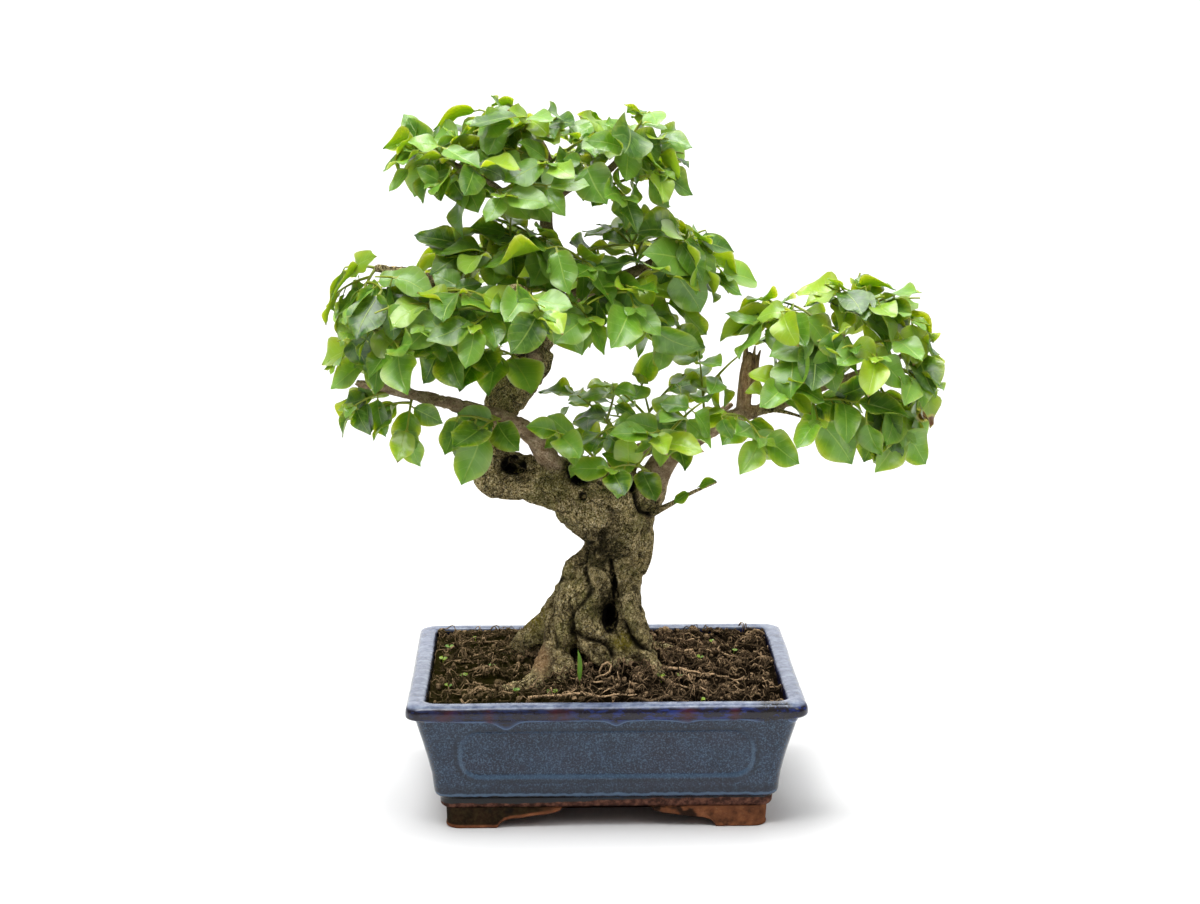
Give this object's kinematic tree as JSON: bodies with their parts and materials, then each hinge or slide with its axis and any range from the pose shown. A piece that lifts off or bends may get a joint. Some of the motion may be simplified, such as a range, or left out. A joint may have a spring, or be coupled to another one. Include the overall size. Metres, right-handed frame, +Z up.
{
  "type": "bonsai tree in a pot",
  "caption": "Small leafy tree with a thick hollowed trunk, spreading roots and layered pads of pointed leaves, in soil in a glazed rectangular footed pot.",
  "frame": {"origin": "on the surface the pot stands on, under the middle of the whole tree's outline", "axes": "+Z up; +X to the right along the pot's long side; +Y away from the viewer, so the pot's panelled front faces -Y"},
  "size_m": [0.382, 0.1998, 0.436],
  "materials": {
    "glaze": "mottled steel-blue glaze with a pale streaked rim, bare clay on the feet",
    "mesh_plastic": "black plastic mesh",
    "soil": "dark crumbly soil full of brown root fibres",
    "bark": "wrinkled olive-grey bark, smoother and paler on young limbs",
    "leaf": "soft green leaf, slightly glossy above and paler below"
  },
  "bodies": {
    "root": {"pot": "glaze", "drain_mesh_left": "mesh_plastic", "drain_mesh_right": "mesh_plastic", "soil": "soil", "trunk": "bark", "top_spray_1": "leaf", "top_spray_2": "leaf", "top_spray_3": "leaf", "top_spray_4": "leaf", "top_spray_5": "leaf", "top_spray_6": "leaf", "top_spray_7": "leaf", "top_spray_8": "leaf", "top_spray_9": "leaf", "top_spray_10": "leaf", "top_spray_11": "leaf", "top_spray_12": "leaf", "top_spray_13": "leaf", "dome_spray_1": "leaf", "dome_spray_2": "leaf", "dome_spray_3": "leaf", "dome_spray_4": "leaf", "dome_spray_5": "leaf", "dome_spray_6": "leaf", "dome_spray_7": "leaf", "dome_spray_8": "leaf", "dome_spray_9": "leaf", "dome_spray_10": "leaf", "dome_spray_11": "leaf", "dome_spray_12": "leaf", "dome_spray_13": "leaf", "dome_spray_14": "leaf", "near_trunk_spray_1": "leaf", "near_trunk_spray_2": "leaf", "shoulder_spray_1": "leaf", "shoulder_spray_2": "leaf", "shoulder_spray_3": "leaf", "shoulder_spray_4": "leaf", "shoulder_spray_5": "leaf", "low_left_spray_1": "leaf", "low_left_spray_2": "leaf", "front_spray_1": "leaf", "front_spray_2": "leaf", "front_spray_3": "leaf", "front_spray_4": "leaf", "front_spray_5": "leaf", "inner_spray_1": "leaf", "inner_spray_2": "leaf", "inner_spray_3": "leaf", "end_spray_1": "leaf", "end_spray_2": "leaf", "end_spray_3": "leaf", "end_spray_4": "leaf", "end_spray_5": "leaf", "end_spray_6": "leaf", "end_spray_7": "leaf", "end_spray_8": "leaf", "end_spray_9": "leaf"}
  },
  "joints": []
}
